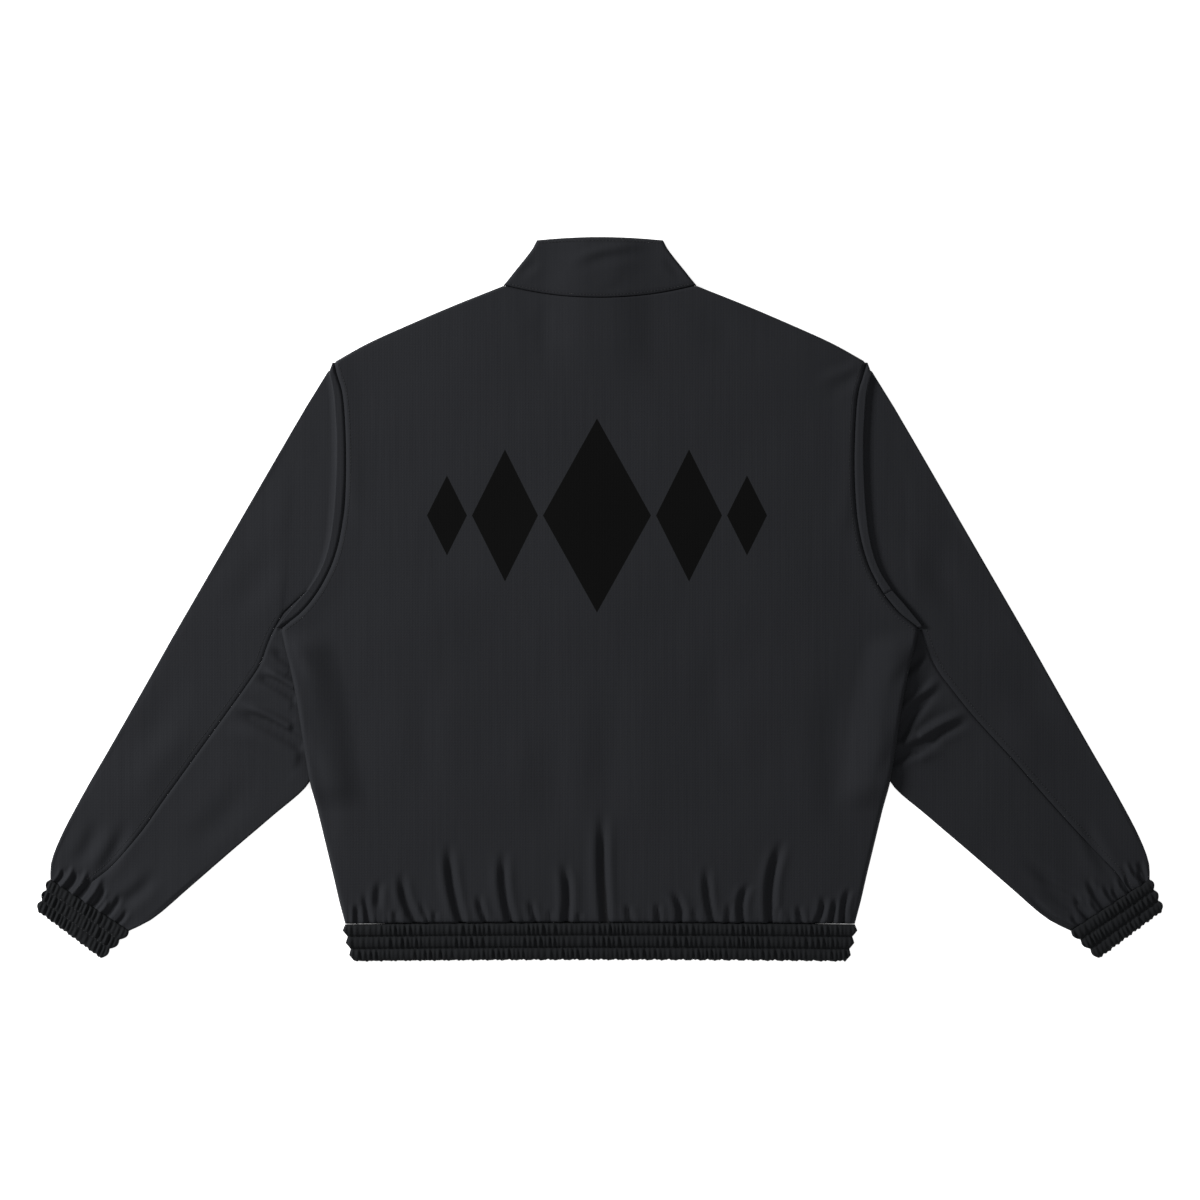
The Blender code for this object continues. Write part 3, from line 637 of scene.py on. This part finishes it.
for side, suffix in ((-1, "left"), (1, "right")):
    upper = cloth_piece("upper_sleeve_" + suffix, columns=96, rows=200,
                        shape=sleeve_shape(suffix, side, "upper"))
    finish(upper, shell_cloth, "jacket", ["sleeve_upper_" + suffix])
    under = cloth_piece("under_sleeve_" + suffix, columns=96, rows=200,
                        shape=sleeve_shape(suffix, side, "under"))
    finish(under, shell_cloth, "jacket", ["sleeve_under_" + suffix])

# ---------------------------------------------------------------------------
# Hem band. The shell cloth doubled over wide elastic and sewn down in three channels,
# which pucker into close crosswise pleats. Its cloth is coloured darker than the shell's
# as painted shade, for the shade that its pleats cast on each other.
# ---------------------------------------------------------------------------
BAND_EDGE = ((255.0, -325.0), (257.5, -330.5), (252.5, -336.8), (254.5, -343.0),
             (249.5, -349.0), (251.0, -355.5), (245.5, -361.0))
BAND_TOP_Y, BAND_HEIGHT, BAND_HALF = HEM_Y - 0.5, 37.0, 255
BAND_TOP_SHARE = 0.74
BAND_CHANNELS = 3
# These colours are darker than the shell's as painted shade: they stand in for the shade the
# pleats cast on each other.
painted_shade_band_cloth, _, _ = woven("elasticated plain weave, darkened as painted pleat shade", "#151617", "#1d1e20", thread_mm=0.9,
                         roughness=0.95, gloss=0.08, bump=0.4)


def pleats(run, channel, seed, pitch):
    """Uneven close pleats along a channel, from waves whose phase wanders."""
    draw = np.random.default_rng(seed)
    total = np.zeros(np.shape(run))
    for k in range(BAND_CHANNELS):
        phase = draw.uniform(0, 2 * np.pi, 4)
        wander = 1.9 * np.sin(run / 17 + phase[0]) + 1.2 * np.sin(run / 7.3 + phase[1])
        wave = np.sin(2 * np.pi * run / pitch + wander)
        wave += 0.55 * np.sin(2 * np.pi * run / (pitch * 1.63) + phase[2] + wander)
        swell = 0.75 + 0.35 * np.sin(run / 11 + phase[3])
        total = np.where(channel == k, wave * swell, total)
    return total


def channel_relief(run, v, seed, pitch, depth):
    """Puffed channels between sunken stitch lines, with their pleats."""
    place = np.clip(v * BAND_CHANNELS, 0, BAND_CHANNELS - 1e-6)
    channel = place.astype(int)
    puff = np.sqrt(np.clip(np.sin(np.pi * (place - channel)), 0, 1))
    return puff * (2.2 + depth * pleats(run, channel, seed, pitch)) - 0.9 * (1 - puff)


def band_shape(u, v):
    """The hem band round the body (u) and from its seam down (v)."""
    edge = np.array(BAND_EDGE)
    at = np.linspace(0, 1, len(edge))
    edge_x = np.interp(v, at, edge[:, 0])
    x, level = wrap(u, BAND_TOP_SHARE, edge_x, TOP_LEVEL)
    hem_bow = HEM_BOW * (1 - (x / BAND_HALF) ** 2)
    edge_wave = 0.5 * np.sin(x * 1.3) + 0.4 * np.sin(x * 0.47 + 1)
    y = BAND_TOP_Y - BAND_HEIGHT * v + hem_bow + edge_wave * soft(v, 0.9, 1)
    top = TOP_LEVEL - 0.8 + channel_relief(x, v, seed=21, pitch=5.2, depth=0.95)
    along = np.clip(1 - (x / BAND_HALF) ** 2, 0, 1)
    top = top + 0.8 * np.sqrt(along + 1e-9) - 2.5 * soft(v, 0.97, 1.0)
    return x, y, REST_LEVEL + (top - REST_LEVEL) * level


band = cloth_piece("hem_band_gathered", columns=640, rows=36, shape=band_shape, wall=0.8)
finish(band, painted_shade_band_cloth, "jacket", ["hem_band"])

# ---------------------------------------------------------------------------
# Cuffs. Made as the hem band is, in three elasticated channels, and sewn to the
# gathered end of each sleeve, so their sides bulge between the stitch lines.
# ---------------------------------------------------------------------------
CUFF_START = ((549.6, -280.0), (471.2, -331.2))
CUFF_END = ((562.6, -311.8), (500.2, -358.6))
CUFF_BULGE = 3.0
CUFF_FOLD_RADIUS, CUFF_LEVEL = 2.4, 4.6
CUFF_TURNS = (0, 0.62, 0.67, 0.95, 1)       # upper side, fold, underside, fold


def cuff_shape(suffix, side):
    """A cuff round its flattened tube (u) and from its seam down (v)."""
    seed = 31 if suffix == "left" else 37

    def shape(u, v):
        v_bulge = CUFF_BULGE * np.abs(np.sin(np.pi * BAND_CHANNELS * v))
        outer = np.array(CUFF_START[0]) + np.outer(v, np.subtract(CUFF_END[0], CUFF_START[0]))
        lower = np.array(CUFF_START[1]) + np.outer(v, np.subtract(CUFF_END[1], CUFF_START[1]))
        across = lower - outer
        width = np.linalg.norm(across, axis=1)
        unit = across / width[:, None]
        turn = np.interp(u, CUFF_TURNS, [0, 1, 1, 0, 0])
        angle = np.interp(u, CUFF_TURNS, [0, 0, np.pi, np.pi, 2 * np.pi])
        radius = CUFF_FOLD_RADIUS
        run = -v_bulge + radius + turn * (width + 2 * v_bulge - 2 * radius)
        run = run + np.where(turn > 0.5, 1, -1) * radius * np.abs(np.sin(angle))
        plan = outer + unit * run[:, None]
        ripple = 0.6 * np.sin(run * 1.2 + seed) + 0.4 * np.sin(run * 0.5)
        down = np.array((0.5, -0.866))
        plan = plan + down * (ripple * soft(v, 0.88, 1))[:, None]
        top = CUFF_LEVEL + channel_relief(run, v, seed, pitch=5.0, depth=1.05)
        top = top - 2.0 * soft(v, 0.96, 1.0)
        level = (1 + np.cos(angle)) / 2
        return side * plan[:, 0], plan[:, 1], REST_LEVEL + (top - REST_LEVEL) * level
    return shape


# The cuffs take the hem band's cloth, whose darker colour is painted shade for their pleats.
for side, suffix in ((-1, "left"), (1, "right")):
    cuff = cloth_piece("cuff_gathered_" + suffix, columns=170, rows=40,
                       shape=cuff_shape(suffix, side), wall=0.8)
    finish(cuff, painted_shade_band_cloth, "jacket", ["cuff_" + suffix])

# ---------------------------------------------------------------------------
# Topstitching. Black polyester lockstitch in rows beside the seams: each stitch is a
# short rounded bar of thread that lies on the cloth.
# ---------------------------------------------------------------------------
STITCH_PITCH, STITCH_LENGTH, THREAD = 3.4, 2.5, 0.45
ARMHOLE_STITCHES, SLEEVE_STITCHES = -4.6, -5.6      # how far from their seams
NECK_STITCHES, COLLAR_TOP_STITCHES = 2.8, 3.6
CHANNEL_LINES = (("1", 1 / 3), ("2", 2 / 3))
thread_black, _, _ = woven("polyester thread", "#131415", "#1b1c1f", thread_mm=0.4,
                           roughness=0.6, gloss=0.3, bump=0.2)


def offset_line(line, distance):
    """The same line moved sideways, to its right as it runs."""
    p = np.array(line, float)
    run = np.gradient(p, axis=0)
    run /= np.linalg.norm(run, axis=1)[:, None]
    return p + np.column_stack([run[:, 1], -run[:, 0]]) * distance


def resting_height(piece_names, points):
    """Height of the upper cloth under each point of a row, from the pieces themselves."""
    heights = np.full(len(points), 0.0)
    for name in piece_names:
        piece = bpy.data.objects[name]
        for i, (x, y) in enumerate(points):
            hit, place, _, _ = piece.ray_cast((x * MM, y * MM, 0.05), (0, 0, -1))
            if hit:
                heights[i] = max(heights[i], place.z / MM)
    return heights


def stitch_row(name, line, piece_names):
    """A row of stitches along a line of (x, y), lying on the named pieces."""
    p = np.array(line, float)
    run = np.concatenate([[0], np.cumsum(np.linalg.norm(np.diff(p, axis=0), axis=1))])
    starts = np.arange(1.0, run[-1] - STITCH_LENGTH, STITCH_PITCH)
    ends = starts + STITCH_LENGTH
    a = np.column_stack([np.interp(starts, run, p[:, k]) for k in (0, 1)])
    b = np.column_stack([np.interp(ends, run, p[:, k]) for k in (0, 1)])
    za, zb = resting_height(piece_names, a), resting_height(piece_names, b)
    bm = bmesh.new()
    for (ax, ay), (bx, by), low, high in zip(a, b, za, zb):
        if min(low, high) <= 0 or abs(low - high) > 1.5:
            continue
        ring = bmesh.ops.create_cone(bm, cap_ends=True, segments=6, radius1=THREAD / 2,
                                     radius2=THREAD / 2, depth=STITCH_LENGTH)["verts"]
        heading = math.atan2(by - ay, bx - ax)
        for vert in ring:
            along, side, up = vert.co.z, vert.co.x, vert.co.y
            slope = (high - low) * along / STITCH_LENGTH
            vert.co = ((ax + bx) / 2 + along * math.cos(heading) - side * math.sin(heading),
                       (ay + by) / 2 + along * math.sin(heading) + side * math.cos(heading),
                       (low + high) / 2 + slope + up * 0.6 + 0.12)
    bmesh.ops.scale(bm, vec=(MM, MM, MM), verts=bm.verts)
    mesh = bpy.data.meshes.new(name)
    bm.to_mesh(mesh)
    bm.free()
    mesh.shade_smooth()
    row = bpy.data.objects.new(name, mesh)
    bpy.context.scene.collection.objects.link(row)
    row.data.materials.append(thread_black)
    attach(row, "jacket")


bpy.context.view_layer.update()
neck_line = [(x, 314.4 - 12.5 * (1 - (x / 96.5) ** 2)) for x in np.linspace(-92, 92, 60)]
stitch_row("stitches_neck", np.array(neck_line) + (0, NECK_STITCHES), ["stand_collar"])
collar_top = [(x, 359.5 + 3.0 * (1 - (x / 63) ** 2)) for x in np.linspace(-60, 60, 40)]
stitch_row("stitches_collar_top", np.array(collar_top) - (0, COLLAR_TOP_STITCHES),
           ["stand_collar"])
for side, suffix in ((-1, "left"), (1, "right")):
    mirror = np.array((side, 1.0))
    inside = offset_line(hole_line, ARMHOLE_STITCHES)
    stitch_row("stitches_armhole_" + suffix, inside * mirror, ["back_panel"])
    seam_line = sleeve_sections(suffix, "upper")[5:, 0, :]
    outside = offset_line(seam_line, SLEEVE_STITCHES)
    stitch_row("stitches_sleeve_" + suffix, outside * mirror, ["upper_sleeve_" + suffix])
    for line, share in CHANNEL_LINES:
        ends = [np.array(s) + (np.array(e) - np.array(s)) * share
                for s, e in zip(CUFF_START, CUFF_END)]
        across = np.linspace(0.03, 0.97, 30)[:, None]
        stitch_row(f"stitches_cuff_{line}_{suffix}",
                   (ends[0] + (ends[1] - ends[0]) * across) * mirror,
                   ["cuff_gathered_" + suffix])
for line, share in CHANNEL_LINES:
    level = BAND_TOP_Y - BAND_HEIGHT * share
    row = [(x, level + HEM_BOW * (1 - (x / BAND_HALF) ** 2))
           for x in np.linspace(-248, 248, 120)]
    stitch_row("stitches_band_" + line, row, ["hem_band_gathered"])

# ---------------------------------------------------------------------------
# Zip. Woven polyester tape with a nylon coil, and a black enamelled zinc slider with
# its pull tab, on the hidden side of the jacket.
# ---------------------------------------------------------------------------
zip_tape, _, _ = woven("woven zip tape", "#141416", "#1e1f22", thread_mm=1.2, roughness=0.8,
                       gloss=0.2, bump=0.5)


def enamelled_zinc():
    """Die-cast zinc under black enamel: smooth, with a low mottle from the casting."""
    material = bpy.data.materials.new("enamelled die-cast zinc")
    material.use_nodes = True
    shader = material.node_tree.nodes["Principled BSDF"]
    shader.inputs["Metallic"].default_value = 0.3
    coords = node(material, "ShaderNodeTexCoord")
    mottle = node(material, "ShaderNodeTexNoise", [("Vector", coords, "Object")],
                  Scale=700.0, Detail=2.0)
    colour = node(material, "ShaderNodeMix", [(0, mottle, "Fac")], data_type="RGBA")
    colour.inputs[6].default_value = linear("#0f0f10")
    colour.inputs[7].default_value = linear("#1d1d1f")
    roughness = node(material, "ShaderNodeMapRange", [("Value", mottle, "Fac")])
    roughness.inputs["To Min"].default_value = 0.25
    roughness.inputs["To Max"].default_value = 0.4
    links = material.node_tree.links
    links.new(colour.outputs[2], shader.inputs["Base Color"])
    links.new(roughness.outputs[0], shader.inputs["Roughness"])
    return material


zinc = enamelled_zinc()
for name, material in (("zip", zip_tape), ("zip_slider", zinc), ("zip_pull", zinc)):
    cad_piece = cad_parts[name]
    cad_piece.data.materials.clear()
    cad_piece.data.materials.append(material)

# ---------------------------------------------------------------------------
# Stage. A plain white paper floor, a soft key light low on the left that draws out the
# creases, a weak broad fill from the front, and a long lens straight above.
# ---------------------------------------------------------------------------
FLOOR_SIZE = 9.0
FLOOR_DROP = 0.0005     # keeps the floor just under the cloth
bm = bmesh.new()
bmesh.ops.create_grid(bm, x_segments=1, y_segments=1, size=FLOOR_SIZE / 2)
floor_mesh = bpy.data.meshes.new("floor")
bm.to_mesh(floor_mesh)
bm.free()
floor = bpy.data.objects.new("floor", floor_mesh)
floor.location.z = -FLOOR_DROP
bpy.context.scene.collection.objects.link(floor)
paper = bpy.data.materials.new("white paper sweep")
paper.use_nodes = True
paper_shader = paper.node_tree.nodes["Principled BSDF"]
paper_shader.inputs["Base Color"].default_value = linear("#f4f4f4")
paper_shader.inputs["Roughness"].default_value = 0.9
paper_shader.inputs["Specular IOR Level"].default_value = 0.1
paper_shader.inputs["Emission Color"].default_value = (1.0, 1.0, 1.0, 1.0)
paper_shader.inputs["Emission Strength"].default_value = 0.75
floor_mesh.materials.append(paper)

scene = bpy.context.scene
scene.view_settings.view_transform = "Standard"
world = bpy.data.worlds.new("studio")
scene.world = world
world.use_nodes = True
world.node_tree.nodes["Background"].inputs["Color"].default_value = (1.0, 1.0, 1.0, 1.0)
world.node_tree.nodes["Background"].inputs["Strength"].default_value = 0.3


def softbox(name, place, size, watts):
    """A square area light aimed at the middle of the jacket."""
    light = bpy.data.lights.new(name, "AREA")
    light.energy = watts
    light.size = size
    lamp = bpy.data.objects.new(name, light)
    bpy.context.scene.collection.objects.link(lamp)
    lamp.location = place
    aim = -lamp.location
    lamp.rotation_euler = aim.to_track_quat("-Z", "Y").to_euler()


softbox("key", (-2.6, 1.1, 1.35), 0.8, 150.0)
softbox("fill", (1.2, -1.6, 2.6), 2.0, 18.0)

CAMERA_HEIGHT = 6.0
VIEW_WIDTH = 1.2
camera_data = bpy.data.cameras.new("camera")
camera_data.lens = camera_data.sensor_width * (CAMERA_HEIGHT - 0.006) / VIEW_WIDTH
camera = bpy.data.objects.new("camera", camera_data)
camera.location = (0.0, -0.0005, CAMERA_HEIGHT)
bpy.context.scene.collection.objects.link(camera)
scene.camera = camera
